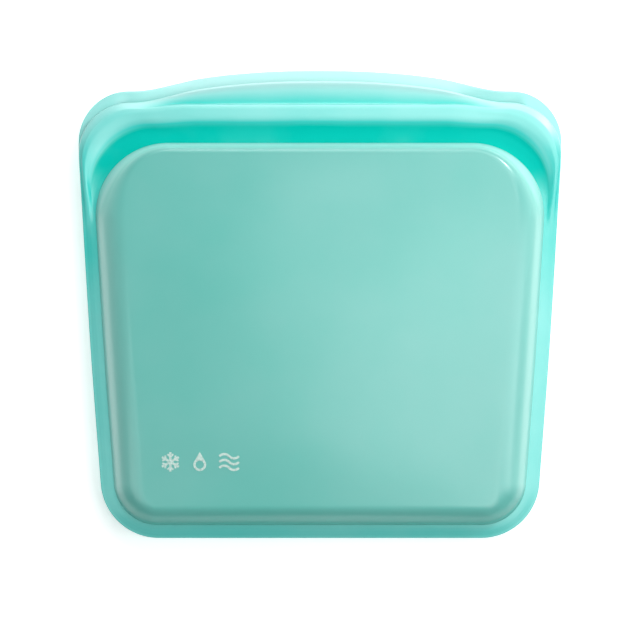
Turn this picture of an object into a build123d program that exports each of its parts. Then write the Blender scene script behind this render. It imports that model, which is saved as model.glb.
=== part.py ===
"""Reusable silicone storage bag, lying on its back with its mouth towards +Y.

Two drafted trays meet in a bond plane and are held together by a U-shaped rim. Above the pouch a
front and a back header carry a press seal, a bead in a channel, and end in two flared lips. The
headers flex about living hinges along the top of the pouch, so the mouth opens.

Millimetres. X runs across the bag, Y from the bottom edge to the mouth, Z up from the table. The
origin is the centre of the bag's footprint on the table. Heights along the bag are measured from
its bottom edge and depths from the bond plane; y_of and z_of turn them into Y and Z.
"""

from build123d import *
import os

# Whole bag
bag_width = 190.5
bag_height = 184.6
bag_thickness = 25.0
bond_z = 12.0  # height of the bond plane above the table

# Outline
bottom_width = 170.0  # between the side lines, at the bottom edge
full_width_height = 150.0  # where the sloping sides reach the full width
bottom_corner_radius = 23.0
tab_foot_x = 74.0  # half width of the raised tab at its foot
tab_knee_x = 47.0
tab_knee_drop = 3.1  # below the tab's crest
back_shoulder_height = 176.3
back_corner_radius = 20.0
lip_step = 4.7  # how far the front lip stops short of the back lip

# Rim
rim_width = 5.4
rim_half_thickness = 1.6
rim_edge_radius = 1.1

# Pouch
pouch_bottom_height = 5.2
pouch_top_height = 155.8
pouch_top_radius = 28.5
pouch_bottom_radius = 17.6
wall = 1.0
draft = 20.0  # degrees, the trays' side walls
crown_rise = 2.6  # how much higher the front panel is at its middle than near its edges
crown_centre_height = 81.0
tray_edge_radius = 4.0

# Headers, seal and lips; depths are from the bond plane, on the front side
hinge_height = 156.8
hinge_depth = 1.4
hinge_roll_radius = 0.8
seal_half_length = 80.0
seal_strip_half_length = 74.0  # of the bead and the channel
neck_half_length = 66.0  # of the way from the pouch up to the seal
end_gap = 0.2  # between a header and the bonded ends
header_end_height = 171.0
seal_centre_height = 167.9
channel_width = 6.0
channel_tip_depth = -0.6
groove_width = 2.8
groove_depth = 1.8
channel_edge_radius = 0.5
bead_width = 2.4
bead_tip_depth = 1.4
bead_edge_radius = 1.0
header_inner_depth = 2.6
header_crest_depth = 4.4
header_outer_slope = [(160.5, 2.5), (163.2, 3.5), (165.2, header_crest_depth)]  # (height, depth)
header_crest_end = 170.2
header_crest_round = 0.5
header_inner_slope = [(164.6, header_inner_depth), (162.2, 1.6)]
header_neck_height = 160.0  # where the neck's flat inner face ends
lip_hinge_height = 171.9
lip_hinge_depth = 3.1
lip_thickness = 1.4
lip_flare = 1.5  # how far a lip's free edge curls away from the bond plane
end_block_depth = 3.6
end_block_edge_radius = 2.0

# Printed marks
mark_thickness = 0.12
mark_centre_x = -47.0
mark_height = 30.5
mark_pitch = 11.5
mark_size = 7.6
mark_line = 0.9
mark_row_room = (60.0, 20.0, 12.0)  # a box round the row of marks

# Modelling allowances
touch = 0.2  # how close to the outline an edge counts as lying on it
hair = 0.01
lip_overrun = 2.0  # how far a lip is drawn past the outline that trims it


def y_of(height):
    """Y of a height above the bag's bottom edge."""
    return height - bag_height / 2


def z_of(depth):
    """Z of a depth in front of the bond plane."""
    return bond_z + depth


def half_width(height, inset=0.0):
    """Half the bag's width at a height, on its sloping sides."""
    slope = (bag_width - bottom_width) / 2 / full_width_height
    return bottom_width / 2 + slope * min(height, full_width_height) - inset


def near(sketch, x, y, reach=0.5):
    """The sketch's corners at (x, y) and at its mirror image."""
    return [v for v in sketch.vertices() if abs(abs(v.X) - x) < reach and abs(v.Y - y) < reach]


def wall_outline(step=0.0):
    """Plan outline of the back wall, or of the front wall with step = lip_step."""
    shoulder = y_of(back_shoulder_height - step)
    crest = y_of(bag_height - step)
    corners = [
        (bottom_width / 2, y_of(0)),
        (bag_width / 2, y_of(full_width_height)),
        (bag_width / 2, shoulder),
        (tab_foot_x, shoulder),
    ]
    right = Polyline(*corners)
    left = Polyline(*[(-x, y) for x, y in corners])
    base = Line((-bottom_width / 2, y_of(0)), (bottom_width / 2, y_of(0)))
    knee = crest - tab_knee_drop
    tab = Spline(
        (tab_foot_x, shoulder), (tab_knee_x, knee), (0, crest), (-tab_knee_x, knee), (-tab_foot_x, shoulder),
        tangents=[(-1, 0), (-1, 0)],
    )
    face = make_face([*right.edges(), *tab.edges(), *left.edges(), *base.edges()])
    face = fillet(near(face, bottom_width / 2, y_of(0)), bottom_corner_radius)
    return fillet(near(face, bag_width / 2, shoulder), back_corner_radius)


def pouch_outline(inset=0.0):
    """Plan outline of the pouch where its walls leave the bond plane."""
    low = pouch_bottom_height + inset
    high = pouch_top_height - inset
    low_x = half_width(low, rim_width + inset)
    slope = (bag_width - bottom_width) / 2 / full_width_height
    high_x = low_x + slope * (high - low)
    face = make_face(
        Polyline(
            (-low_x, y_of(low)), (low_x, y_of(low)), (high_x, y_of(high)), (-high_x, y_of(high)),
            close=True,
        )
    )
    face = fillet(near(face, low_x, y_of(low)), pouch_bottom_radius - inset)
    return fillet(near(face, high_x, y_of(high)), pouch_top_radius - inset)


def crown(top_z):
    """A ball whose top is the front panel's crowned outer face."""
    reach = half_width(pouch_top_height, rim_width)
    radius = (reach**2 + crown_rise**2) / (2 * crown_rise)
    return Pos(0, y_of(crown_centre_height), top_z - radius) * Sphere(radius)


def tray_block(inset, base_z, top_z, crowned):
    """A drafted block over the pouch's outline, its top edge rounded."""
    block = Pos(0, 0, base_z) * extrude(pouch_outline(inset), amount=top_z - base_z, taper=draft)
    if crowned:
        block = block & crown(top_z)
    top = block.faces().sort_by(Axis.Z)[-1]
    return fillet(top.edges(), tray_edge_radius - inset)


def make_front_panel():
    base = z_of(rim_half_thickness)
    outer = tray_block(0, base, bag_thickness, crowned=True)
    inner = tray_block(wall, base, bag_thickness - wall, crowned=True)
    return outer - inner


def make_back_panel():
    """The back tray, made facing up and turned over, with a flat base on the table."""
    base = -z_of(-rim_half_thickness)
    outer = tray_block(0, base, 0, crowned=False)
    inner = tray_block(wall, base, -wall, crowned=False)
    return mirror(outer - inner, Plane.XY)


def make_rim():
    """The U-shaped bonded rim, open along the top of the pouch."""
    plan = wall_outline() & Pos(0, y_of(pouch_top_height / 2)) * Rectangle(bag_width, pouch_top_height)
    plan = plan - pouch_outline(wall)
    neck = Rectangle(2 * neck_half_length, 4 * wall)
    plan = plan - Pos(0, y_of(pouch_top_height)) * neck
    rim = Pos(0, 0, z_of(-rim_half_thickness)) * extrude(plan, amount=2 * rim_half_thickness)
    return fillet([e for e in rim.edges() if is_outer_edge(e)], rim_edge_radius)


def is_outer_edge(edge):
    """True for an edge of the rim that lies on the bag's outline, away from the pouch and the neck."""
    p = edge @ 0.5
    height = p.Y + bag_height / 2
    on_side = abs(abs(p.X) - half_width(max(height, 0))) < touch
    on_bottom = height < touch
    on_corner = height < bottom_corner_radius and abs(p.X) > bottom_width / 2 - bottom_corner_radius
    in_pouch = height > pouch_bottom_height - touch and abs(p.X) < half_width(height, rim_width - touch)
    return (on_side or on_bottom or on_corner) and not in_pouch


def header_profile():
    """Section of the front header in the YZ plane: hinge roll, slope, crest over the seal."""
    points = [
        (hinge_height, hinge_depth + hinge_roll_radius),
        *header_outer_slope,
        (header_crest_end, header_crest_depth),
        (header_end_height, header_crest_depth - header_crest_round),
        (header_end_height, header_inner_depth),
        *header_inner_slope,
        (header_neck_height, hinge_depth - hinge_roll_radius),
        (hinge_height, hinge_depth - hinge_roll_radius),
    ]
    plate = make_face(Polyline(*[(y_of(h), z_of(d)) for h, d in points], close=True))
    roll = Pos(y_of(hinge_height), z_of(hinge_depth)) * Circle(hinge_roll_radius)
    return plate + roll


def across(profile, half_length):
    """A YZ profile, drawn as (Y, Z), pulled out along X to both sides."""
    return extrude(Plane.YZ * profile, amount=half_length, both=True)


def plan_prism(outline):
    """The full-height prism over a plan outline."""
    return Pos(0, 0, -bag_thickness) * extrude(outline, amount=3 * bag_thickness)


def turned_over(shape):
    """A front piece mirrored through the bond plane, for the back of the bag."""
    return mirror(shape, Plane.XY.offset(bond_z))


def make_header():
    return across(header_profile(), seal_half_length - end_gap)


def make_seal_channel():
    """The channel on the front header that takes the bead."""
    depth = header_inner_depth - channel_tip_depth
    centre = (y_of(seal_centre_height), z_of(channel_tip_depth + depth / 2))
    block = Pos(*centre) * Rectangle(channel_width, depth)
    groove = groove_depth - channel_tip_depth
    slot_centre = (y_of(seal_centre_height), z_of(channel_tip_depth + groove / 2))
    section = block - Pos(*slot_centre) * Rectangle(groove_width, groove)
    tips = [v for v in section.vertices() if v.Y < z_of(channel_tip_depth) + hair]
    return across(fillet(tips, channel_edge_radius), seal_strip_half_length)


def make_seal_bead():
    """The bead on the back header, with a rounded tip."""
    base = -header_inner_depth
    depth = bead_tip_depth - base
    section = Pos(y_of(seal_centre_height), z_of(base + depth / 2)) * Rectangle(bead_width, depth)
    tips = [v for v in section.vertices() if v.Y > z_of(bead_tip_depth) - hair]
    return across(fillet(tips, bead_edge_radius), seal_strip_half_length)


def lip_profile(end_height):
    """Section of a lip: a strip that curls away from the bond plane towards its free edge."""
    start = Vector(y_of(lip_hinge_height), z_of(lip_hinge_depth))
    end = Vector(y_of(end_height + lip_overrun), z_of(lip_hinge_depth + lip_flare))
    middle = Vector(y_of((lip_hinge_height + end_height) / 2), z_of(lip_hinge_depth + lip_flare / 4))
    centre = ThreePointArc(tuple(start)[:2], tuple(middle)[:2], tuple(end)[:2])
    across_start = (centre % 0).rotate(Axis.Z, 90) * (lip_thickness / 2)
    across_end = (centre % 1).rotate(Axis.Z, 90) * (lip_thickness / 2)
    across_middle = (centre % 0.5).rotate(Axis.Z, 90) * (lip_thickness / 2)
    upper = ThreePointArc(start + across_start, centre @ 0.5 + across_middle, end + across_end)
    lower = ThreePointArc(start - across_start, centre @ 0.5 - across_middle, end - across_end)
    tip = Line(upper @ 1, lower @ 1)
    root = Line(upper @ 0, lower @ 0)
    return make_face([*upper.edges(), *tip.edges(), *lower.edges(), *root.edges()])


def make_front_lip():
    roll = Pos(y_of(lip_hinge_height), z_of(lip_hinge_depth)) * Circle(lip_thickness / 2)
    lip = across(lip_profile(bag_height - lip_step) + roll, seal_half_length - end_gap)
    return lip & plan_prism(wall_outline(lip_step))


def make_back_lip():
    """The back lip, joined to the back header's end face."""
    root = Rectangle(lip_hinge_height - header_end_height, lip_thickness, align=(Align.MIN, Align.CENTER))
    profile = lip_profile(bag_height) + Pos(y_of(header_end_height), z_of(lip_hinge_depth)) * root
    lip = across(profile, seal_half_length - end_gap)
    return turned_over(lip) & plan_prism(wall_outline())


def bonded_end(step):
    """One wall's half of the bonded right-hand end of the mouth, its outer edge rounded."""
    wide = bag_width / 2 - seal_half_length
    tall = bag_height - pouch_top_height
    cell = Pos(seal_half_length + wide / 2, y_of(pouch_top_height + tall / 2)) * Rectangle(wide, tall)
    block = Pos(0, 0, bond_z) * extrude(wall_outline(step) & cell, amount=end_block_depth)
    top = block.faces().sort_by(Axis.Z)[-1]
    middles = {edge: edge @ 0.5 for edge in top.edges()}
    low_x, low_y = seal_half_length + hair, y_of(pouch_top_height) + hair
    outer = [edge for edge, p in middles.items() if p.X > low_x and p.Y > low_y]
    return fillet(outer, end_block_edge_radius)


def make_seal_end():
    """The bonded right-hand end of the mouth, where both walls are one."""
    return bonded_end(lip_step) + turned_over(bonded_end(0))


def drop_mark():
    """A drop, for washing."""
    radius = mark_size * 0.33
    body = Pos(0, -mark_size * 0.14) * Circle(radius)
    tip = Polyline((-radius * 0.9, 0.0), (0, mark_size * 0.52), (radius * 0.9, 0.0), close=True)
    inner = Pos(0, -mark_size * 0.14) * Circle(radius - mark_line)
    return body + make_face(tip) - inner


def snow_mark():
    """A six-armed snow crystal, for the freezer."""
    arms = Sketch()
    for angle in (0, 60, 120):
        arms = arms + Rot(0, 0, angle + 90) * Rectangle(mark_size, mark_line)
    for angle in range(0, 360, 60):
        for turn in (-50, 50):
            twig = Rectangle(mark_size * 0.2, mark_line * 0.8, align=(Align.MIN, Align.CENTER))
            arms = arms + Rot(0, 0, angle + 90) * (Pos(mark_size * 0.27, 0) * Rot(0, 0, turn) * twig)
    return arms


def wave_mark():
    """Three waves, for heating."""
    waves = Sketch()
    for n in (-1, 0, 1):
        left = ThreePointArc((-mark_size / 2, 0), (-mark_size / 4, mark_size * 0.11), (0, 0))
        right = ThreePointArc((0, 0), (mark_size / 4, -mark_size * 0.11), (mark_size / 2, 0))
        line = trace([*left.edges(), *right.edges()], line_width=mark_line)
        waves = waves + Pos(0, n * mark_size * 0.3) * line
    return waves


def make_printed_marks():
    """Three care pictograms, printed as a thin film on the front panel's crown."""
    row = [snow_mark(), drop_mark(), wave_mark()]
    film = crown(bag_thickness + mark_thickness) - crown(bag_thickness)
    film = film & Pos(mark_centre_x, y_of(mark_height), bag_thickness) * Box(*mark_row_room)
    reach = mark_row_room[2]
    marks = []
    for n, mark in enumerate(row):
        place = Pos(mark_centre_x + (n - 1) * mark_pitch, y_of(mark_height), bag_thickness - reach)
        prism = place * extrude(mark, amount=2 * reach)
        marks += (prism & film).solids()
    return Compound(marks)


def main():
    os.makedirs("parts", exist_ok=True)
    header = make_header()
    seal_end = make_seal_end()
    nodes = {
        "back_panel": make_back_panel(),
        "bonded_rim": make_rim(),
        "right_seal_end": seal_end,
        "left_seal_end": mirror(seal_end, Plane.YZ),
        "front_panel": make_front_panel(),
        "printed_marks": make_printed_marks(),
        "front_header": header,
        "seal_channel": make_seal_channel(),
        "front_lip": make_front_lip(),
        "back_header": turned_over(header),
        "seal_bead": make_seal_bead(),
        "back_lip": make_back_lip(),
    }
    for name, shape in nodes.items():
        export_step(shape, f"parts/{name}.step")


main()
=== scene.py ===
import math

import bmesh
import bpy
import numpy as np
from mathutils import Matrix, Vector


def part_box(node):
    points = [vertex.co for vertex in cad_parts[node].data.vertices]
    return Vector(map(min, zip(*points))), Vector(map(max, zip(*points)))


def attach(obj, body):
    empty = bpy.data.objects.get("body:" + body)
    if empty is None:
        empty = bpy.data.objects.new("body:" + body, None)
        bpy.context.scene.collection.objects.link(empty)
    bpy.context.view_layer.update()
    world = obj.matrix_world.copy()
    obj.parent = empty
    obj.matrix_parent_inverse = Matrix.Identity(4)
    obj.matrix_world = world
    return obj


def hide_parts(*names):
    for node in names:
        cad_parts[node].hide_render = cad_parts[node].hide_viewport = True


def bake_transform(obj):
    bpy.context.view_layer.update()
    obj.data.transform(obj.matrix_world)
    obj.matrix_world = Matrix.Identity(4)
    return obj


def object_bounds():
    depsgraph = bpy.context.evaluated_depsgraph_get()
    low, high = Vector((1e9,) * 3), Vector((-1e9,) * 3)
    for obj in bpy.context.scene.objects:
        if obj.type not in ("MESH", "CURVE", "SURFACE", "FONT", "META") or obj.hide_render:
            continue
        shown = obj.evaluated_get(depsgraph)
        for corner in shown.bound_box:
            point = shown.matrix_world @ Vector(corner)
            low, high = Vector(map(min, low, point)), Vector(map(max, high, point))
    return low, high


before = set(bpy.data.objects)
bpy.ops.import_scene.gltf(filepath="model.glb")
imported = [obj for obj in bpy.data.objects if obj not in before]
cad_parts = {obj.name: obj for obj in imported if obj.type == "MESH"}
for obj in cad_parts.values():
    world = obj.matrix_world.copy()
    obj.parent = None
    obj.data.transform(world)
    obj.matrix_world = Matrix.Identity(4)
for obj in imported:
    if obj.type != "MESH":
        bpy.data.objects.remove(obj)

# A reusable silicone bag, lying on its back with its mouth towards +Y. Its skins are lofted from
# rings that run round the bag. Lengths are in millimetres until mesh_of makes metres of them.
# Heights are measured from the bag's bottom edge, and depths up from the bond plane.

MM = 0.001
MERGED = 1e-7  # points closer than this, in metres, become one
CRISP = math.radians(35.0)  # edges sharper than this aren't smoothed
CAD_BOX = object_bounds()


def box_mm(node):
    """Lowest and highest corners of a CAD node, in millimetres."""
    low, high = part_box(node)
    return np.array(low) / MM, np.array(high) / MM


# ---------------------------------------------------------------- sizes from the frame
BAG_LOW, BAG_HIGH = (np.array(corner) / MM for corner in CAD_BOX)
RIM_LOW, RIM_HIGH = box_mm("bonded_rim")
PANEL_LOW, PANEL_HIGH = box_mm("front_panel")
HEADER_HIGH = box_mm("front_header")[1]
FRONT_LIP_HIGH = box_mm("front_lip")[1]
BEAD_LOW, BEAD_HIGH = box_mm("seal_bead")
CHANNEL_LOW, CHANNEL_HIGH = box_mm("seal_channel")

BASE_Y = BAG_LOW[1]
BOND_Z = (RIM_LOW[2] + RIM_HIGH[2]) / 2
TALL = BAG_HIGH[1] - BASE_Y
HALF_WIDE = BAG_HIGH[0]
RIM_DEPTH = RIM_HIGH[2] - BOND_Z
POUCH_LOW = PANEL_LOW[1] - BASE_Y
POUCH_HIGH = PANEL_HIGH[1] - BASE_Y
BASE_LINE = HEADER_HIGH[1] - BASE_Y  # the straight upper foot of the seal ridge
LIP_STEP = BAG_HIGH[1] - FRONT_LIP_HIGH[1]
SEAL_HALF = BEAD_HIGH[0]

# ---------------------------------------------------------------- the rest of the design
HALF_BOTTOM = 85.0
KNEE = 150.0  # height where the sloping sides turn straight up
KNEE_BLEND = 2.0
SIDE_SLOPE = (HALF_WIDE - HALF_BOTTOM) / KNEE
SIDE_BOW = 0.45  # how much the sides bulge between the bottom and the knee
RIM_WIDE = 5.4
TAB_FOOT, TAB_KNEE = 74.0, 47.0  # half widths of the raised tab
TAB_RISE, TAB_KNEE_RISE = 8.3, 5.2
TAB_KNEE_SLOPE = -0.155
BOTTOM_RADIUS, TOP_RADIUS = 23.0, 20.0
POUCH_BOTTOM_RADIUS, POUCH_TOP_RADIUS = 17.6, 28.5
WALL = 1.0
EDGE = 0.6  # radius of the walls' free edges
SKIN_GAP = 0.01  # each wall stands off the bond plane by this much
NECK_DEPTH = 0.6  # of a header's inner face, next to the pouch
RIDGE_INNER_DEPTH = 2.6  # of the same face, under the ridge
LIP_HALF = 44.0  # half width of the tongue that peels
WELD_START, WELD_END = 75.0, 82.0  # the walls are one beyond these half widths
SLIT_START, SLIT_END = -10.0, -4.0  # and below these heights, from the pouch's top


def smooth(start, end, value):
    """0 at start, 1 at end, with level ends."""
    t = np.clip((np.asarray(value, float) - start) / (end - start), 0, 1)
    return t * t * (3 - 2 * t)


def mix(a, b, share):
    return a + (b - a) * share


def sampled(points, steps):
    """A Catmull-Rom curve through the points, with steps samples to a span."""
    p = np.array(points, float)
    p = np.vstack([2 * p[0] - p[1], p, 2 * p[-1] - p[-2]])
    out = []
    for a, b, c, d in zip(p, p[1:], p[2:], p[3:]):
        square = 2 * a - 5 * b + 4 * c - d
        cube = 3 * b - a - 3 * c + d
        for t in np.arange(steps) / steps:
            out.append(0.5 * (2 * b + (c - a) * t + square * t**2 + cube * t**3))
    out.append(p[-2])
    return np.array(out)


# ---------------------------------------------------------------- rings
def half_width(height):
    """Half the bag's width at a height: a slightly bowed slope that turns straight up at the knee."""
    bow = SIDE_BOW * np.sin(np.pi * np.clip(height / KNEE, 0, 1)) ** 2
    below_knee = KNEE_BLEND * np.log1p(np.exp((KNEE - height) / KNEE_BLEND))
    return HALF_BOTTOM + SIDE_SLOPE * (KNEE - below_knee) + bow


def tab_rise(x):
    """How far the tab in the middle of the lips stands above their shoulders."""
    x = np.abs(np.asarray(x, float))
    inner = np.clip(x / TAB_KNEE, 0, 1)
    outer = np.clip((x - TAB_KNEE) / (TAB_FOOT - TAB_KNEE), 0, 1)
    near = mix(TAB_RISE, TAB_KNEE_RISE, inner**2 * (3 - 2 * inner))
    near = near + TAB_KNEE_SLOPE * TAB_KNEE * inner**2 * (inner - 1)
    far = mix(TAB_KNEE_RISE, 0, outer**2 * (3 - 2 * outer))
    far = far + TAB_KNEE_SLOPE * (TAB_FOOT - TAB_KNEE) * outer * (1 - outer) ** 2
    return np.where(x < TAB_KNEE, near, far)


BOTTOM_STEPS, LOW_ARC_STEPS, SIDE_STEPS, TOP_ARC_STEPS, SHOULDER_STEPS = 24, 22, 64, 36, 16
SHARED_X = 46.0  # from here to the middle, all rings have their points at the same x
STRIDE = 2.0
# The tongue's end comes twice, so that the wall can stop where the tongue starts.
MIDDLE_X = [SHARED_X, LIP_HALF, LIP_HALF, *np.arange(LIP_HALF - STRIDE, -STRIDE / 4, -STRIDE)]
TOP_START = BOTTOM_STEPS + LOW_ARC_STEPS + SIDE_STEPS + TOP_ARC_STEPS
TONGUE_START = TOP_START + SHOULDER_STEPS + MIDDLE_X.index(LIP_HALF) + 1
RING_COUNT = 2 * (TOP_START + SHOULDER_STEPS + len(MIDDLE_X)) - 2


def samples_from(start):
    """Marks the samples of a ring between one on its right and the same one on its left."""
    marked = np.zeros(RING_COUNT, bool)
    marked[start : RING_COUNT - start + 1] = True
    return marked


ON_TOP = samples_from(TOP_START)
ON_TONGUE = samples_from(TONGUE_START)


def open_arc(x, height, radius, start, end, steps):
    """Points of an arc about a centre, without its last one."""
    turn = np.linspace(start, end, steps, endpoint=False)
    return np.column_stack([x + radius * np.cos(turn), height + radius * np.sin(turn)])


def right_half(top, inset, top_radius, low_radius):
    """The right-hand half of a ring, from the middle of its bottom to the middle of its top."""
    slope = math.atan(SIDE_SLOPE)
    low = inset * POUCH_LOW / RIM_WIDE
    low_y = low + low_radius
    side_start = low_y - low_radius * math.sin(slope)
    low_x = half_width(side_start) - inset - low_radius * math.cos(slope)
    top_y = top - top_radius
    lean = slope / (1 + math.exp((top_y - KNEE) / KNEE_BLEND))
    side_end = top_y - top_radius * math.sin(lean)
    top_x = half_width(side_end) - inset - top_radius * math.cos(lean)
    bottom = np.array([(low_x * t, low) for t in np.arange(BOTTOM_STEPS) / BOTTOM_STEPS])
    low_arc = open_arc(low_x, low_y, low_radius, -math.pi / 2, -slope, LOW_ARC_STEPS)
    rise = np.linspace(side_start, side_end, SIDE_STEPS, endpoint=False)
    side = np.column_stack([half_width(rise) - inset, rise])
    top_arc = open_arc(top_x, top_y, top_radius, -lean, math.pi / 2, TOP_ARC_STEPS)
    level = np.concatenate([np.linspace(top_x, SHARED_X, SHOULDER_STEPS, endpoint=False), MIDDLE_X])
    return np.vstack([bottom, low_arc, side, top_arc, np.column_stack([level, np.full(len(level), top)])])


def ring(top, inset, top_radius, low_radius):
    """A closed ring round the bag, anticlockwise from the middle of its bottom."""
    right = right_half(top, inset, top_radius, low_radius)
    return np.vstack([right, (right * (-1, 1))[-2:0:-1]])


def unit(vectors):
    """Vectors scaled to length 1."""
    return vectors / np.maximum(np.linalg.norm(vectors, axis=-1, keepdims=True), 1e-9)


def inwards(outline):
    """Unit normals of a ring, pointing into it."""
    along = unit(np.roll(outline, -1, 0) - np.roll(outline, 1, 0))
    return np.column_stack([-along[:, 1], along[:, 0]])


# ---------------------------------------------------------------- meshes
def add_object(name, data):
    made = bpy.data.objects.new(name, data)
    bpy.context.scene.collection.objects.link(made)
    return made


def mesh_of(name, points, faces, tones):
    """An object from points of (x, height, depth) in millimetres, smooth but for its crisp edges."""
    placed = np.array(points, float) + (0, BASE_Y, BOND_Z)
    mesh = bpy.data.meshes.new(name)
    mesh.from_pydata((placed * MM).tolist(), [], faces)
    mesh.attributes.new("Pale", "FLOAT", "POINT").data.foreach_set("value", np.array(tones, np.float32))
    build = bmesh.new()
    build.from_mesh(mesh)
    bmesh.ops.remove_doubles(build, verts=build.verts, dist=MERGED)
    bmesh.ops.dissolve_degenerate(build, edges=build.edges, dist=MERGED)
    bmesh.ops.recalc_face_normals(build, faces=build.faces)
    for edge in build.edges:
        edge.smooth = len(edge.link_faces) == 2 and edge.calc_face_angle(0) < CRISP
    for face in build.faces:
        face.smooth = True
    build.to_mesh(mesh)
    build.free()
    return add_object(name, mesh)


def loft(rows, closed_rows, closed_columns):
    """Points and quads of a grid of rows, each an array of (x, height, depth)."""
    count, width = len(rows), len(rows[0])
    faces = []
    for r in range(count if closed_rows else count - 1):
        for c in range(width if closed_columns else width - 1):
            s, d = (r + 1) % count, (c + 1) % width
            faces.append((r * width + c, r * width + d, s * width + d, s * width + c))
    return np.vstack(rows), faces


def loft_ends(rows):
    """The two faces that close a loft whose rows are closed round its section."""
    width = len(rows[0])
    first = [n * width for n in range(len(rows))]
    return [tuple(first[::-1]), tuple(n + width - 1 for n in first)]


def places_of(piece):
    """x, height and depth of a piece's points, in millimetres."""
    co = np.zeros(3 * len(piece.data.vertices))
    piece.data.vertices.foreach_get("co", co)
    return (co.reshape(-1, 3) / MM - (0, BASE_Y, BOND_Z)).T


def bend(piece):
    """Bakes a piece's placing into its points."""
    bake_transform(piece)
    return piece


def bend_with_mouth(piece):
    """Bakes a piece's placing into its points, as bend does."""
    x, height, _ = places_of(piece)
    return bend(piece)


# ---------------------------------------------------------------- walls round the pouch
HEADER_CURVE = [  # (height, depth) of a header's outer face, from the valley over the ridge
    (POUCH_HIGH, 1.45), (157.6, 1.65), (159.8, 2.2), (162.0, 3.05), (164.2, 4.0),
    (166.4, 4.5), (168.8, 4.58), (170.3, 4.38), (170.85, 4.0), (BASE_LINE + 0.02, 3.45),
]
HEADER_INNER = [  # the same of its inner face
    (POUCH_HIGH - WALL, NECK_DEPTH), (160.0, NECK_DEPTH), (162.2, 1.4), (164.3, 2.45), (165.0, 2.62),
    (BASE_LINE + 0.02, 2.3),
]
# (share of the way from a lip's root to its edge, depth of its outer face)
LIP_CURVE = [(0.0, 3.3), (0.12, 3.22), (0.35, 3.32), (0.6, 3.55), (0.8, 3.85), (1.0, 4.3)]
LIP_THICK = (1.5, 1.1)  # at its root and its edge
SPAN_STEPS = 3  # samples to a span of these curves

# Depths round a header's corners and down the sides, as (share of the wall's width, depth).
FRONT_CORNER = [
    (0, 1.6), (0.14, 1.6), (0.3, 1.85), (0.46, 2.9), (0.6, 3.75), (0.75, 4.1), (0.88, 3.9), (1, 3.0),
]
BACK_CORNER = [
    (0, 1.6), (0.1, 1.6), (0.25, 2.3), (0.4, 3.6), (0.52, 3.8), (0.62, 3.3), (0.74, 2.0), (1, 1.3),
]
SIDE_CURVE = [(0, 1.6), (0.3, 1.48), (0.6, 1.2), (0.85, 0.8), (1, 0.45)]

FRONT_BASE_SHARE, BACK_BASE_SHARE = 0.88, 0.67  # share of each wall's width below its lip's root
CORNER_START, CORNER_END = 50.0, 76.0  # half widths between which a header turns into a corner
SIDE_TURN = (116.0, 150.0)  # heights between which a flat side rises to a corner
RIM_POWER = 0.75  # below 1, it sets the rings wider apart towards the outer edge
TOP_FLAT = 0.72  # share of a ring's level top that keeps the header's own height
CAP_TURNS = np.radians(np.arange(75, -90, -15))  # round a free edge, from its outer face to its inner
CAP_LEAST = 0.06  # share of its size that the inner half of that round keeps where the walls are one


def in_middle(x, height):
    """1 along the straight middle of a header, 0 round its corners and down the sides."""
    return np.where(height > KNEE, 1 - smooth(CORNER_START, CORNER_END, x), 0.0)


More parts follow.
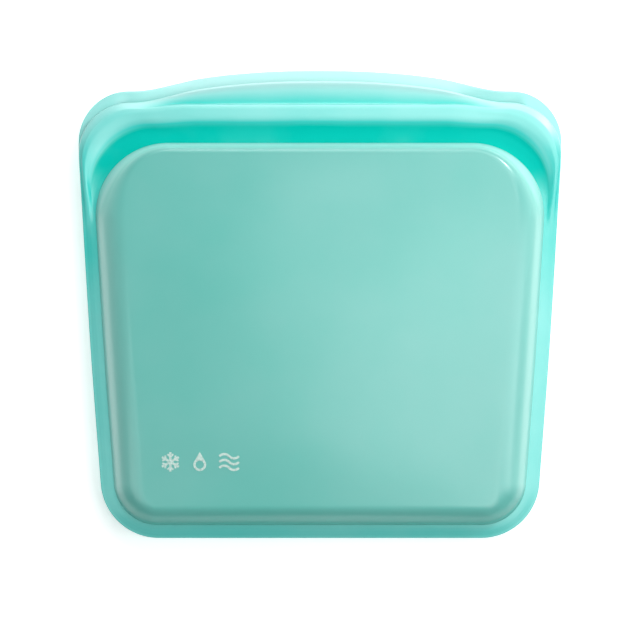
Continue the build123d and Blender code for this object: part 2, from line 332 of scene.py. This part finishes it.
class Wall:
    """Half of the bag outside the pouch: rim, header and lip, in front of the bond plane or behind it."""

    def __init__(self, side, shoulder, base_share, corner_curve, pale):
        self.side = side
        self.shoulder = shoulder
        self.base_share = base_share
        self.corner_curve = np.array(corner_curve, float).T
        self.side_curve = np.array(SIDE_CURVE, float).T
        self.pale = pale
        self.stations = self.make_stations()

    def make_stations(self):
        """(share across the wall, share along the lip, centre height, outer and inner centre depth)."""
        inner = np.array(HEADER_INNER, float).T
        below = -WALL / (self.shoulder - POUCH_HIGH)
        rows = [(below, 0.0, POUCH_HIGH - WALL, HEADER_CURVE[0][1], NECK_DEPTH)]
        for height, depth in sampled(HEADER_CURVE, SPAN_STEPS):
            share = (height - POUCH_HIGH) / (BASE_LINE - POUCH_HIGH) * self.base_share
            rows.append((share, 0.0, height, depth, np.interp(height, *inner)))
        for along, depth in sampled(LIP_CURVE, SPAN_STEPS)[1:]:
            share = mix(self.base_share, 1.0, along)
            rows.append((share, along, BASE_LINE, depth, depth - mix(*LIP_THICK, along)))
        return rows

    def plan(self, share, along, height):
        """(x, height) round the bag of one station."""
        inset = EDGE + (RIM_WIDE - EDGE) * (1 - max(share, 0.0)) ** RIM_POWER + (WALL if share < 0 else 0)
        top_radius = mix(POUCH_TOP_RADIUS, TOP_RADIUS - EDGE, share)
        low_radius = mix(BOTTOM_RADIUS, POUCH_BOTTOM_RADIUS, inset / RIM_WIDE)
        points = ring(mix(POUCH_HIGH, self.shoulder - EDGE, share), inset, top_radius, low_radius)
        x = points[ON_TOP, 0]
        straight = 1 - smooth(TOP_FLAT * x[0], x[0], np.abs(x))
        root = mix(POUCH_HIGH, self.shoulder - EDGE, min(share, self.base_share))
        edge = self.shoulder - EDGE + tab_rise(x)
        points[ON_TOP, 1] = mix(mix(root, height, straight), edge, along)
        return points

    def depths(self, plan, share, along, outer, inner):
        """Outer and inner depth round the bag of one station, and where its inner side lies free."""
        x, height = np.abs(plan[:, 0]), plan[:, 1]
        if along > 0:  # a lip flares less where it is low
            stands = self.shoulder - EDGE - BASE_LINE
            tall = (stands + tab_rise(x)) / (stands + TAB_RISE)
            outer = mix(LIP_CURVE[0][1], outer, tall)
            inner = outer - mix(*LIP_THICK, along)
        corner = np.interp(share, *self.corner_curve)
        low_side = np.interp(share, *self.side_curve)
        raised = mix(corner, outer, in_middle(x, height))
        outside = mix(low_side, raised, smooth(*SIDE_TURN, height))
        opened = 1 - smooth(WELD_START, WELD_END, x)
        opened = opened * smooth(POUCH_HIGH + SLIT_START, POUCH_HIGH + SLIT_END, height)
        inside = np.minimum(inner, np.maximum(outside - LIP_THICK[1], 0))
        return outside, inside * opened, opened

    def section(self, short):
        """Rows of points round the bag, one for each point of the section, and their paleness.

        A short section has no lip where the tongue is: its rows fall together there, on the lip's root.
        """
        outer_rows, inner_rows, tones = [], [], []
        for share, along, height, outer, inner in self.stations:
            plan = self.plan(share, along, height)
            outside, inside, opened = self.depths(plan, share, along, outer, inner)
            outer_rows.append(np.column_stack([plan, outside]))
            inner_rows.append(np.column_stack([plan, inside]))
            tones.append(self.pale(plan, share, along))
        cap_rows = self.cap(outer_rows[-1], inner_rows[-1], opened)
        rows = outer_rows + cap_rows + inner_rows[::-1]
        tones = tones + [tones[-1]] * len(cap_rows) + tones[::-1]
        if short:
            root = self.root_row()
            for row in rows[root + 1 : -root - 1]:
                row[ON_TONGUE] = rows[-root - 1][ON_TONGUE]
        for row in rows:
            row[:, 2] = row[:, 2] * self.side + self.side * SKIN_GAP
        return rows, tones

    def root_row(self):
        """Number of the row along the lip's root."""
        return next(n for n, station in enumerate(self.stations) if station[1] > 0) - 1

    def cap(self, outer_row, inner_row, opened):
        """The rounded free edge that joins the last outer row to the last inner row."""
        normal = inwards(outer_row[:, :2])
        middle = mix(inner_row[:, 2], outer_row[:, 2], 0.5 * np.maximum(opened, CAP_LEAST))
        rows = []
        for turn in CAP_TURNS:
            reach = outer_row[:, :2] - normal * EDGE * math.cos(turn)
            span = outer_row[:, 2] - middle if turn > 0 else middle - inner_row[:, 2]
            rows.append(np.column_stack([reach, middle + span * math.sin(turn)]))
        return rows


# ---------------------------------------------------------------- how pale the walls are, and where light and shade are painted on them
# Paleness is 0 in plain thick silicone, -0.5 in its deepest hollow, where it is painted shade, and 1 at a
# thin, milky edge; on the ridge it is a painted highlight.
RIM_PALE = (0.22, 0.02)  # along the bottom and up the sides
RIM_TURN = (85.0, 120.0)  # heights between which the first gives way to the second
CORNER_TURN = (125.0, 148.0)  # heights between which a side takes on its corner's paleness
TOP_CORNER_TURN = (144.0, 163.0)  # the same, at the top of a corner's outer half
OUTER_HALF = (0.36, 0.6)  # shares of the wall's width between which its outer half begins
RIDGE_SHADE_AND_HIGHLIGHT = (-0.5, 0.34)  # painted shade in the valley and a painted highlight on the ridge
RIDGE_TURN = (0.34, 0.57)  # shares of the wall's width, as in the other turns below
FRONT_EDGE_PALE = 0.3  # added round the front wall's edge
FRONT_EDGE_TURN = (0.8, 1.0)
FRONT_LIP_PALE = (-0.05, 1.0)  # at its root and its edge: paler as the lip thins, and a painted highlight along the edge itself
FRONT_LIP_POWER = 1.6
BACK_HEADER_PALE = 0.1
BACK_LIP_PALE = (0.35, 0.85)
BACK_LIP_POWER = 0.5
BACK_CORNER_PALE = 0.6
BACK_CORNER_TURN = (0.55, 0.85)


def rim_and_header(plan, share, corner, middle):
    """Paleness round a wall, from its rim by way of its corners to the middle of its header."""
    x, height = np.abs(plan[:, 0]), plan[:, 1]
    rim = mix(*RIM_PALE, smooth(*RIM_TURN, height))
    top_corner = smooth(*OUTER_HALF, share) * smooth(CORNER_START, CORNER_END, x)
    start, end = (mix(low, high, top_corner) for low, high in zip(CORNER_TURN, TOP_CORNER_TURN))
    return mix(rim, mix(corner, middle, in_middle(x, height)), smooth(start, end, height))


def front_pale(plan, share, along):
    """Paleness of the front wall: painted shade deep in its valley, a painted highlight on its ridge, and
    pale at its lip's thin edge, which ends in a painted highlight.
    """
    ridge = mix(*RIDGE_SHADE_AND_HIGHLIGHT, smooth(*RIDGE_TURN, share))
    middle = mix(*FRONT_LIP_PALE, along**FRONT_LIP_POWER) if along > 0 else ridge
    return rim_and_header(plan, share, ridge + FRONT_EDGE_PALE * smooth(*FRONT_EDGE_TURN, share), middle)


def back_pale(plan, share, along):
    """Paleness of the back wall, whose lip is thin right round its corners."""
    middle = mix(*BACK_LIP_PALE, along**BACK_LIP_POWER) if along > 0 else BACK_HEADER_PALE
    return rim_and_header(plan, share, BACK_CORNER_PALE * smooth(*BACK_CORNER_TURN, share), middle)


front_wall = Wall(1, TALL - LIP_STEP - TAB_RISE, FRONT_BASE_SHARE, FRONT_CORNER, front_pale)
back_wall = Wall(-1, TALL - TAB_RISE, BACK_BASE_SHARE, BACK_CORNER, back_pale)


def make_wall(name, wall, short):
    rows, tones = wall.section(short)
    points, faces = loft(rows, True, True)
    return bend_with_mouth(mesh_of(name, points, faces, np.concatenate(tones)))


def make_tongue(name, wall):
    """The middle of the front lip, which peels back from the ridge."""
    rows, tones = wall.section(short=False)
    lip = slice(wall.root_row(), len(rows) - wall.root_row())
    band = [row[ON_TONGUE] for row in rows[lip]]
    band_tones = [row[ON_TONGUE] for row in tones[lip]]
    points, faces = loft(band, True, False)
    piece = mesh_of(name, points, faces + loft_ends(band), np.concatenate(band_tones))
    x, height, _ = places_of(piece)
    return bend(piece)


front_skin = make_wall("front_wall_skin", front_wall, short=True)
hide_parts("bonded_rim", "left_seal_end", "right_seal_end", "front_header")
back_skin = make_wall("back_wall_skin", back_wall, short=False)
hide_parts("back_header", "back_lip")
front_tongue = make_tongue("front_pull_lip", front_wall)
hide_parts("front_lip")


# ---------------------------------------------------------------- pouch
# How far in from its foot the pouch's wall turns level.
SHOULDER_SIDE, SHOULDER_TOP, SHOULDER_BOTTOM = 12.5, 3.8, 8.5
SHOULDER_POWER, SHOULDER_ROUND = 2.1, 1.25
SHOULDER_TURN = (0.05, 0.9)  # shares of that way between which its paleness, painted light round the foot, fades
SHOULDER_ROWS, CROWN_ROWS = 28, 18
FOOT_CROWDING = 2.2  # above 1, it crowds the shoulder's rows towards its foot
LEVEL_INSETS = [15.5, 18.0]  # of two more rows before the crown
CROWN_INSET = 60.0  # how much further in the middle counts as
INNERMOST = 0.999  # the last row stops this share of the way to the middle
CROWN_RISE = 2.6
CROWN_REACH = 88.0
CROWN_HEIGHT = 81.0
PANEL_RISE = PANEL_HIGH[2] - RIM_HIGH[2] - CROWN_RISE  # of the front panel's edge above its foot
TRAY_DEPTH = RIM_LOW[2] - BAG_LOW[2]
FOOT_SUNK = 0.15  # how deep the wall's outer face runs into the rim
FOOT_GAP = 0.03  # how far its inner face stays above the rim
LEAST_RADIUS = 6.0  # of a ring's corners, however far in it is
RIPPLE_WAVES = ((0.055, 0.031, 0.4), (-0.038, 0.064, 2.1), (0.083, -0.049, 4.0), (0.021, 0.097, 5.2))
RIPPLE_SIZE = 0.09
RIPPLE_SUNK = 0.25  # how far below the crown the ripples' middle level lies
RIPPLE_TURN = (2.0, 26.0)  # insets between which the ripples set in
WELL_INSIDE = 40.0  # an inset where the panel has its full shape


def shoulder_reach(plan):
    """How far in from each point of a ring the pouch's wall turns level."""
    facing = -inwards(plan)
    ends = np.where(facing[:, 1] > 0, SHOULDER_TOP, SHOULDER_BOTTOM)
    return mix(SHOULDER_SIDE, ends, facing[:, 1] ** 2)


def wall_rise(inset, reach):
    """0 at the pouch's foot, 1 where its wall has turned level."""
    left = 1 - np.clip(inset / reach, 0, 1)
    return (1 - left**SHOULDER_POWER) ** (1 / SHOULDER_ROUND)


def crown(x, height):
    """How far the filled front panel is domed above its edge."""
    return CROWN_RISE * (1 - (x**2 + (height - CROWN_HEIGHT) ** 2) / CROWN_REACH**2)


def ripple(x, height):
    """Soft unevenness of the filled front panel."""
    return RIPPLE_SIZE * sum(np.sin(a * x + b * height + c) for a, b, c in RIPPLE_WAVES)


def panel_depth(x, height, inset, reach):
    """Depth of the front panel's outer face."""
    crowned = crown(x, height) * wall_rise(inset, reach)
    uneven = (ripple(x, height) - RIPPLE_SUNK) * smooth(*RIPPLE_TURN, inset)
    return RIM_DEPTH + PANEL_RISE * wall_rise(inset, reach) + crowned + uneven


def tray_depth(_x, _height, inset, reach):
    """Depth below the bond plane of the back panel's outer face, flat where it lies on the table."""
    return RIM_DEPTH + TRAY_DEPTH * wall_rise(inset, reach)


def pouch_ring(inset):
    """The ring at some way in from the pouch's foot."""
    top_radius = max(POUCH_TOP_RADIUS - inset, LEAST_RADIUS)
    low_radius = max(POUCH_BOTTOM_RADIUS - inset, LEAST_RADIUS)
    return ring(POUCH_HIGH - inset, RIM_WIDE + inset, top_radius, low_radius)


def pouch_rows(depth_of):
    """Rows of a pouch wall's outer face, from its foot to its middle, and their paleness.

    The paleness at the foot is 1 along the sides, 2 along the top, which faces the light, for a painted
    highlight, and -1 along the bottom, which faces away from it, for painted shade.
    """
    insets = [SHOULDER_SIDE * t**FOOT_CROWDING for t in np.linspace(0, 1, SHOULDER_ROWS)] + LEVEL_INSETS
    reach = shoulder_reach(pouch_ring(0.0))
    facing = -inwards(pouch_ring(0.0))[:, 1]
    # painted light: the foot is paler where it faces the lamps at the top, and darker where it faces away
    # at the bottom
    side = 1 + np.maximum(facing, 0) + 2 * np.minimum(facing, 0)
    plans = [(inset, pouch_ring(inset)) for inset in insets]
    last_inset, last_plan = plans[-1]
    for t in np.linspace(0, 1, CROWN_ROWS)[1:]:
        plans.append((last_inset + CROWN_INSET * t, mix(last_plan, (0, CROWN_HEIGHT), t * INNERMOST)))
    rows, tones = [], []
    for inset, plan in plans:
        rows.append(np.column_stack([plan, depth_of(plan[:, 0], plan[:, 1], inset, reach)]))
        tones.append((1 - smooth(*SHOULDER_TURN, inset / reach)) * side)
    return rows, tones


def make_pouch(name, side, depth_of):
    """A drafted tray with a rounded shoulder, one wall thick."""
    outer, tones = pouch_rows(depth_of)
    grid = np.array(outer)
    normal = unit(np.cross(np.roll(grid, -1, 1) - np.roll(grid, 1, 1), np.gradient(grid, axis=0)))
    normal = normal * np.sign(normal[..., 2:] + 1e-6)  # all of them point up
    inner = list(grid - normal * WALL)
    outer[0][:, 2] = RIM_DEPTH - FOOT_SUNK
    inner[0] = np.column_stack([pouch_ring(WALL), np.full(RING_COUNT, RIM_DEPTH + FOOT_GAP)])
    for row in inner[1:]:
        row[:, 2] = np.maximum(row[:, 2], RIM_DEPTH + FOOT_GAP)
    rows = outer[::-1] + inner
    for row in rows:
        row[:, 2] *= side
    points, faces = loft(rows, False, True)
    last = (len(rows) - 1) * RING_COUNT
    caps = [tuple(range(RING_COUNT))[::-1], tuple(range(last, last + RING_COUNT))]
    return mesh_of(name, points, faces + caps, np.concatenate(tones[::-1] + tones))


def sink_with_panel(piece):
    """Bakes a piece's placing into its points, as bend does."""
    x, height, _ = places_of(piece)
    return bend(piece)


front_panel = sink_with_panel(make_pouch("front_panel_skin", 1, panel_depth))
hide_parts("front_panel")
back_panel = make_pouch("back_panel_skin", -1, tray_depth)
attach(back_panel, "pouch")
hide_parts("back_panel")


# ---------------------------------------------------------------- seal
STRIP_SAMPLES = 75
STRIP_GAP = 0.35  # how far below the ridge's inner face a strip starts
GROOVE_HALF, GROOVE_TOP = 1.4, 1.8  # half width of the channel's groove, and depth of its floor
OUTER_ROUND, GROOVE_ROUND = 0.5, 0.4
BEAD_NECK = 0.72  # share of the bead's radius


def make_strip(name, outline):
    """A moulded strip along the seal, its section given as (height, depth) points."""
    xs = np.linspace(-SEAL_HALF, SEAL_HALF, STRIP_SAMPLES)
    rows = [np.column_stack([xs, np.full(STRIP_SAMPLES, h), np.full(STRIP_SAMPLES, d)]) for h, d in outline]
    points, faces = loft(rows, True, False)
    piece = mesh_of(name, points, faces + loft_ends(rows), np.zeros(len(points)))
    return bend_with_mouth(piece)


def arc(centre_height, centre_depth, radius, start, end, steps=7):
    """(height, depth) points of an arc between two angles in degrees."""
    turns = np.radians(np.linspace(start, end, steps))
    return [(centre_height + radius * math.cos(t), centre_depth + radius * math.sin(t)) for t in turns]


def channel_section():
    """Two rounded ribs with the groove between them that takes the bead."""
    low, high = CHANNEL_LOW[1] - BASE_Y, CHANNEL_HIGH[1] - BASE_Y
    tip = CHANNEL_LOW[2] - BOND_Z
    middle = (low + high) / 2
    root = RIDGE_INNER_DEPTH - STRIP_GAP
    section = [(low, root)]
    section += arc(low + OUTER_ROUND, tip + OUTER_ROUND, OUTER_ROUND, 180, 270)
    section += arc(middle - GROOVE_HALF - GROOVE_ROUND, tip + GROOVE_ROUND, GROOVE_ROUND, 270, 360)
    section += [(middle - GROOVE_HALF, GROOVE_TOP), (middle + GROOVE_HALF, GROOVE_TOP)]
    section += arc(middle + GROOVE_HALF + GROOVE_ROUND, tip + GROOVE_ROUND, GROOVE_ROUND, 180, 270)
    section += arc(high - OUTER_ROUND, tip + OUTER_ROUND, OUTER_ROUND, 270, 360)
    return section + [(high, root)]


def bead_section():
    """A round bead on a neck."""
    middle = (BEAD_LOW[1] + BEAD_HIGH[1]) / 2 - BASE_Y
    radius = (BEAD_HIGH[1] - BEAD_LOW[1]) / 2
    tip = BEAD_HIGH[2] - BOND_Z
    neck = radius * BEAD_NECK
    root = STRIP_GAP - RIDGE_INNER_DEPTH
    section = [(middle + neck, root), (middle + neck, tip - 2 * radius)]
    section += arc(middle, tip - radius, radius, -35, 215, 15)
    return section + [(middle - neck, tip - 2 * radius), (middle - neck, root)]


channel = make_strip("seal_channel_strip", channel_section())
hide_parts("seal_channel")
bead = make_strip("seal_bead_strip", bead_section())
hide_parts("seal_bead")


# ---------------------------------------------------------------- printed marks
INK_LOW, INK_HIGH = 0.02, 0.09  # of the ink's two faces above the panel


def make_marks():
    """The CAD's printed marks, laid on the skin of the front panel."""
    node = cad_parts["printed_marks"]
    mesh = node.data.copy()
    mesh.transform(node.matrix_world)
    build = bmesh.new()
    build.from_mesh(mesh)
    bmesh.ops.remove_doubles(build, verts=build.verts, dist=MERGED)
    build.to_mesh(mesh)
    build.free()
    piece = add_object("care_marks", mesh)
    x, height, depth = places_of(piece)
    cad_crown = RIM_DEPTH + PANEL_RISE + crown(x, height)
    lifted = np.where(depth > np.median(depth - cad_crown) + cad_crown, INK_HIGH, INK_LOW)
    laid = panel_depth(x, height, WELL_INSIDE, SHOULDER_SIDE) + lifted
    placed = (np.column_stack([x, height, laid]) + (0, BASE_Y, BOND_Z)) * MM
    mesh.vertices.foreach_set("co", placed.ravel())
    mesh.update()
    return sink_with_panel(piece)


marks = make_marks()
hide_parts("printed_marks")


# ---------------------------------------------------------------- materials
def linear(value):
    """Linear share of a 0-255 value as seen on a screen."""
    share = value / 255
    return ((share + 0.055) / 1.055) ** 2.4 if value > 10 else share / 12.92


def colour(red, green, blue):
    return (linear(red), linear(green), linear(blue), 1)


class Nodes:
    """A small helper for building a material's node tree."""

    def __init__(self, name):
        self.material = bpy.data.materials.new(name)
        self.material.use_nodes = True
        self.tree = self.material.node_tree
        self.tree.nodes.clear()
        self.output = self.add("ShaderNodeOutputMaterial")

    def add(self, kind, **inputs):
        node = self.tree.nodes.new(kind)
        for name, value in inputs.items():
            self.set(node, name.replace("_", " "), value)
        return node

    def set(self, node, name, value):
        self.plug(node.inputs[name], value)

    def plug(self, socket, value):
        """Links a node's output to a socket, or gives the socket a value of its own."""
        if isinstance(value, bpy.types.NodeSocket):
            self.tree.links.new(value, socket)
        else:
            socket.default_value = value

    def noise(self, scale, detail=3.0):
        """Soft noise with about this many features to a metre."""
        place = self.add("ShaderNodeTexCoord").outputs["Object"]
        return self.add("ShaderNodeTexNoise", Vector=place, Scale=scale, Detail=detail).outputs["Fac"]

    def spread(self, value, low, high, to_low=0.0, to_high=1.0):
        """A value's range from low to high, stretched to another range and held at its ends."""
        limits = {"From_Min": low, "From_Max": high, "To_Min": to_low, "To_Max": to_high}
        return self.add("ShaderNodeMapRange", Value=value, **limits).outputs["Result"]

    def blend(self, share, a, b):
        """A mix of two colours."""
        node = self.add("ShaderNodeMix")
        node.data_type = "RGBA"  # its colour sockets are inputs 6 and 7 and output 2
        self.set(node, "Factor", share)
        self.plug(node.inputs[6], a)
        self.plug(node.inputs[7], b)
        return node.outputs[2]

    def combine(self, how, a, b):
        """The sum, product or other operation of two values."""
        node = self.add("ShaderNodeMath")
        node.operation = how
        self.plug(node.inputs[0], a)
        self.plug(node.inputs[1], b)
        return node.outputs[0]

    def attribute(self, name):
        node = self.add("ShaderNodeAttribute")
        node.attribute_name = name
        return node.outputs["Fac"]

    def grain(self, scale, detail):
        """A normal roughened by fine noise."""
        height = self.noise(scale, detail)
        return self.add("ShaderNodeBump", Height=height, Distance=GRAIN_DEPTH).outputs["Normal"]

    def silicone(self, base, rough, grain, sheen, coat, coat_ior, coat_roughness):
        """A satin body under a glossier skin."""
        body = {"Base_Color": base, "Roughness": rough, "IOR": SILICONE_IOR, "Normal": grain}
        solid = self.add("ShaderNodeBsdfPrincipled", **body)
        self.set(solid, "Specular IOR Level", sheen)
        self.set(solid, "Coat Weight", coat)
        self.set(solid, "Coat IOR", coat_ior)
        self.set(solid, "Coat Roughness", coat_roughness)
        return solid.outputs[0]

    def see_through(self, share, tint, solid):
        """The material, a mix of a solid surface and a clear tint."""
        clear = self.add("ShaderNodeBsdfTransparent", Color=tint)
        node = self.add("ShaderNodeMixShader", Fac=share)
        self.plug(node.inputs[1], solid)
        self.plug(node.inputs[2], clear.outputs[0])
        return self.faced_with(node.outputs[0])

    def faced_with(self, surface):
        """The material, with its surface set."""
        self.set(self.output, "Surface", surface)
        return self.material


GRAIN_DEPTH = 0.00002  # metres
SILICONE_IOR = 1.42
# darker aqua for the valley below the seal ridge: thick silicone, darkened further as painted shade
VALLEY_SHADE = colour(0, 178, 164)
THICK = colour(0, 194, 184)
PALE = colour(176, 228, 226)
THIN_TINT = colour(190, 232, 229)
PANEL = colour(120, 213, 204)
SHOULDER = colour(146, 218, 208)
# painted highlight along the top of the pouch's foot, which faces the light
TOP_FOOT_HIGHLIGHT = colour(200, 248, 244)
PANEL_TINT = colour(192, 238, 231)
INK = colour(226, 244, 238)
INK_TINT = colour(240, 252, 250)
PAPER = (colour(252, 252, 252), colour(255, 255, 255))
FLOOR_GLOW = 0.4
FRONT_CLEAR, BACK_CLEAR = 0.42, 0.2  # how see-through the panels are


def thick_silicone():
    """Moulded aqua silicone: saturated where it is thick, pale and see-through at its lips, with painted
    shade and no sheen in the valley and painted highlights on the ridge and the front lip's edge.
    """
    n = Nodes("thick_silicone")
    cloud = n.spread(n.noise(38.0), 0.3, 0.7, -0.05, 0.05)
    tone = n.combine("ADD", n.attribute("Pale"), cloud)
    # painted shade: the deepest part of the valley takes the darker aqua
    shaded_hollow = n.blend(n.spread(tone, -0.5, 0.0), VALLEY_SHADE, THICK)
    base = n.blend(n.spread(tone, 0.0, 1.0), shaded_hollow, PALE)
    rough = n.spread(n.noise(160.0, 4.0), 0.3, 0.7, 0.34, 0.42)
    grain = n.grain(2600.0, 2.0)
    # painted shade: the valley loses its sheen and coat, so that it stays dark
    sheen = n.spread(tone, -0.5, -0.2, 0.05, 1.0)
    coat = n.spread(tone, -0.5, -0.2, 0.0, 0.6)
    solid = n.silicone(base, rough, grain, sheen, coat, coat_ior=1.7, coat_roughness=0.3)
    return n.see_through(n.spread(tone, 0.5, 1.0, 0.0, 0.12), THIN_TINT, solid)


def thin_silicone(name, share):
    """The pouch's thin wall: milky aqua that shows what lies behind it.

    Its foot is painted brightest along the top, which faces the light, as a painted highlight, and is
    duller than the panel along the sides and the bottom, least shiny at the bottom as painted shade.
    """
    n = Nodes(name)
    shoulder = n.attribute("Pale")
    base = n.blend(n.spread(n.noise(24.0, 4.0), 0.35, 0.65, 0.0, 0.16), PANEL, PALE)
    base = n.blend(n.spread(shoulder, 0.0, 0.8), base, SHOULDER)
    # painted highlight: the top of the foot turns paler still
    base = n.blend(n.spread(shoulder, 1.0, 1.7), base, TOP_FOOT_HIGHLIGHT)
    rough = n.spread(n.noise(70.0, 4.0), 0.3, 0.7, 0.29, 0.35)
    grain = n.grain(900.0, 3.0)
    # the foot's sheen follows which way it faces the lamps: full along the top, less on the sides, least
    # along the bottom as painted shade
    side_sheen = n.spread(shoulder, 0.75, 1.0, 1.0, 0.4)
    top_sheen = n.spread(shoulder, 1.1, 1.7, 0.0, 0.6)
    bottom_sheen = n.spread(shoulder, -1.0, -0.2, 0.1, 1.0)
    sheen = n.combine("MULTIPLY", bottom_sheen, n.combine("ADD", side_sheen, top_sheen))
    solid = n.silicone(base, rough, grain, sheen, sheen, coat_ior=1.6, coat_roughness=0.2)
    return n.see_through(n.spread(shoulder, 0.0, 0.8, share, 0.1), PANEL_TINT, solid)


def ink():
    """White ink, thin enough to show the panel through it in specks."""
    n = Nodes("white_ink")
    speckle = n.spread(n.noise(1400.0, 2.0), 0.3, 0.7, 0.3, 0.55)
    solid = n.add("ShaderNodeBsdfPrincipled", Base_Color=INK, Roughness=0.5)
    return n.see_through(speckle, INK_TINT, solid.outputs[0])


def floor_paper():
    """White paper that glows a little, so that it stays pale in shadow."""
    n = Nodes("floor_paper")
    solid = n.add("ShaderNodeBsdfPrincipled", Base_Color=n.blend(n.noise(3.0), *PAPER), Roughness=0.9)
    n.set(solid, "Emission Color", (1, 1, 1, 1))
    n.set(solid, "Emission Strength", FLOOR_GLOW)
    return n.faced_with(solid.outputs[0])


def paint(material, slot, *pieces):
    for piece in pieces:
        piece.data.materials.clear()
        piece.data.materials.append(material)


paint(thick_silicone(), "silicone", front_skin, back_skin, front_tongue, channel, bead)
paint(thin_silicone("front_panel_silicone", FRONT_CLEAR), "clear_silicone", front_panel)
paint(thin_silicone("back_panel_silicone", BACK_CLEAR), "clear_silicone", back_panel)
paint(ink(), "white_print", marks)


# ---------------------------------------------------------------- floor, light and camera
FLOOR_REACH = 3.0  # metres
FLOOR_GAP = 0.0001  # metres, between the bag and the floor
WORLD_GLOW = 0.15
LIGHTS = [  # (name, place and size in metres, power)
    ("key_softbox", (0.12, 0.34, 0.42), (0.6, 0.45), 1.9),
    ("far_softbox", (0.0, 0.7, 0.45), (0.6, 0.3), 1.4),
    ("right_softbox", (0.34, -0.05, 0.62), (0.24, 0.9), 1.5),
    ("side_softbox", (0.48, -0.08, 0.60), (0.4, 1.0), 0.8),
    ("low_softbox", (0.28, -0.30, 0.62), (0.14, 0.4), 0.5),
    ("left_softbox", (-0.44, -0.2, 0.60), (0.3, 0.6), 0.8),
    ("corner_lamp", (0.6, 0.55, 0.55), (0.06, 0.06), 2.3),
]
VIEW_WIDTH = 252.5  # at the bond plane
VIEW_HEIGHT = 86.0  # height up the bag that the camera stands above
CAMERA_DISTANCE = 1.2  # metres
SENSOR = 36.0


def make_floor():
    mesh = bpy.data.meshes.new("floor")
    level = BAG_LOW[2] * MM - FLOOR_GAP
    corners = [(FLOOR_REACH * x, FLOOR_REACH * y, level) for x, y in ((-1, -1), (1, -1), (1, 1), (-1, 1))]
    mesh.from_pydata(corners, [], [(0, 1, 2, 3)])
    mesh.materials.append(floor_paper())
    add_object("floor", mesh)


def make_light(name, place, size, power):
    """A soft light that faces the bag."""
    lamp = bpy.data.lights.new(name, "AREA")
    lamp.shape = "RECTANGLE"
    lamp.size, lamp.size_y = size
    lamp.energy = power
    light = add_object(name, lamp)
    light.location = place
    light.rotation_euler = (-Vector(place)).to_track_quat("-Z", "Y").to_euler()


def make_world():
    world = bpy.data.worlds.new("studio")
    world.use_nodes = True
    background = world.node_tree.nodes["Background"]
    background.inputs["Color"].default_value = (1, 1, 1, 1)
    background.inputs["Strength"].default_value = WORLD_GLOW
    bpy.context.scene.world = world


def make_camera():
    """A long lens straight above the bag."""
    camera = bpy.data.cameras.new("camera")
    camera.sensor_width = SENSOR
    camera.lens = SENSOR * CAMERA_DISTANCE / (VIEW_WIDTH * MM)
    mount = add_object("camera", camera)
    mount.location = (0, (VIEW_HEIGHT + BASE_Y) * MM, BOND_Z * MM + CAMERA_DISTANCE)
    bpy.context.scene.camera = mount


make_floor()
make_world()
for name, place, size, power in LIGHTS:
    make_light(name, place, size, power)
make_camera()
bpy.context.scene.view_settings.view_transform = "Standard"
